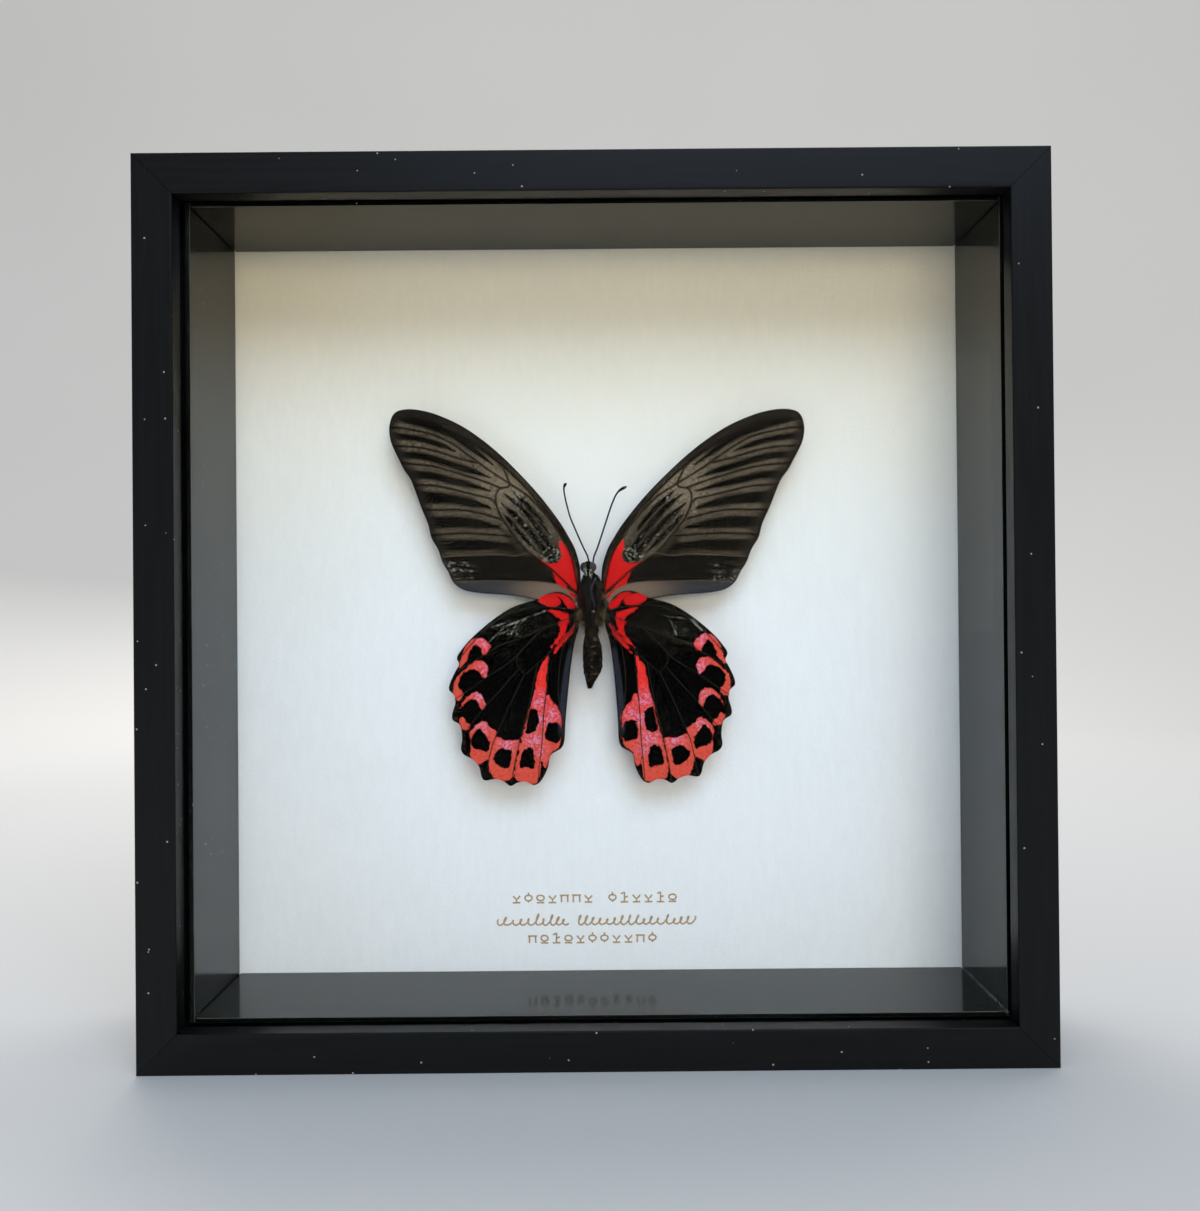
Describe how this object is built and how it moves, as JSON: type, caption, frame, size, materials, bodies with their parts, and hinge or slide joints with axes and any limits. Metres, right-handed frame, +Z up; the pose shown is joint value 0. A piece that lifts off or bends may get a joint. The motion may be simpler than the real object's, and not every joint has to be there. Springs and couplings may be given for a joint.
{
  "type": "framed butterfly specimen",
  "caption": "Butterfly pinned with its wings spread, underside showing, on a white card in a deep black box frame behind glass.",
  "frame": {"origin": "on the surface the frame stands on, under the middle of the whole object", "axes": "+Z up, the glass faces -Y, +X to the viewer's right"},
  "size_m": [0.25, 0.0568, 0.25],
  "materials": {
    "black_lacquered_wood": "satin black lacquer",
    "black_spacer_strip": "gloss black, fine streaks along its length",
    "clear_glass": "clear, polished",
    "white_card": "finely textured matt white card",
    "brown_hardboard": "plain brown hardboard",
    "bright_steel": "bright steel",
    "forewing_scales": "matt dusty grey-brown scales on black, red at the root",
    "hindwing_scales": "matt black scales with red and pink marks",
    "body_hair": "dark brown hair on dry skin"
  },
  "bodies": {
    "root": {"rail_top": "black_lacquered_wood", "rail_bottom": "black_lacquered_wood", "rail_left": "black_lacquered_wood", "rail_right": "black_lacquered_wood", "glass_pane": "clear_glass", "spacer_top": "black_spacer_strip", "spacer_bottom": "black_spacer_strip", "spacer_left": "black_spacer_strip", "spacer_right": "black_spacer_strip", "mount_card": "white_card", "back_panel": "brown_hardboard", "point_top_left": "bright_steel", "point_top_right": "bright_steel", "point_bottom_left": "bright_steel", "point_bottom_right": "bright_steel", "point_left_upper": "bright_steel", "point_left_lower": "bright_steel", "point_right_upper": "bright_steel", "point_right_lower": "bright_steel", "hanger_plate": "bright_steel", "hanger_nail_left": "bright_steel", "hanger_nail_right": "bright_steel", "insect_pin": "bright_steel", "forewing_left": "forewing_scales", "forewing_right": "forewing_scales", "hindwing_left": "hindwing_scales", "hindwing_right": "hindwing_scales", "butterfly_body": "body_hair", "antenna_left": "body_hair", "antenna_right": "body_hair"}
  },
  "joints": []
}
